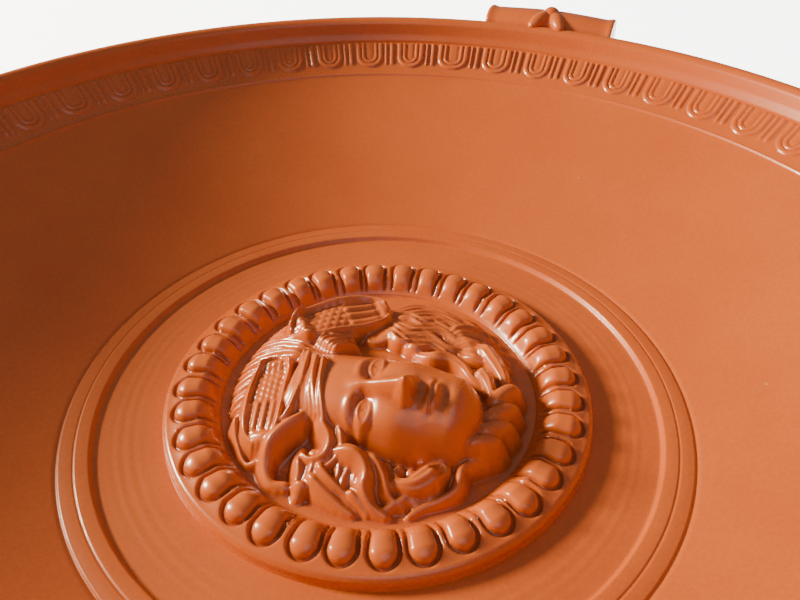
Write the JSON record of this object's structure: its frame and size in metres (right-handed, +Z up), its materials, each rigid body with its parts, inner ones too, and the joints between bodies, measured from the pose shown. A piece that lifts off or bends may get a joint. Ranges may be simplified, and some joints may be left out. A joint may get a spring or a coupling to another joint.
{
  "type": "footed platter",
  "caption": "Footed red slipped platter with two bar handles, an egg moulding under the lip and a raised winged head in a gadrooned ring.",
  "frame": {"origin": "centre of the foot ring's flat underside", "axes": "+Z up out of the bowl, +X through one handle, +Y across toward the crown of the head"},
  "size_m": [0.3514, 0.325, 0.0649],
  "materials": {
    "slip": "glossy red-orange fired clay slip, satin on the raised relief"
  },
  "bodies": {
    "root": {"platter": "slip"}
  },
  "joints": []
}
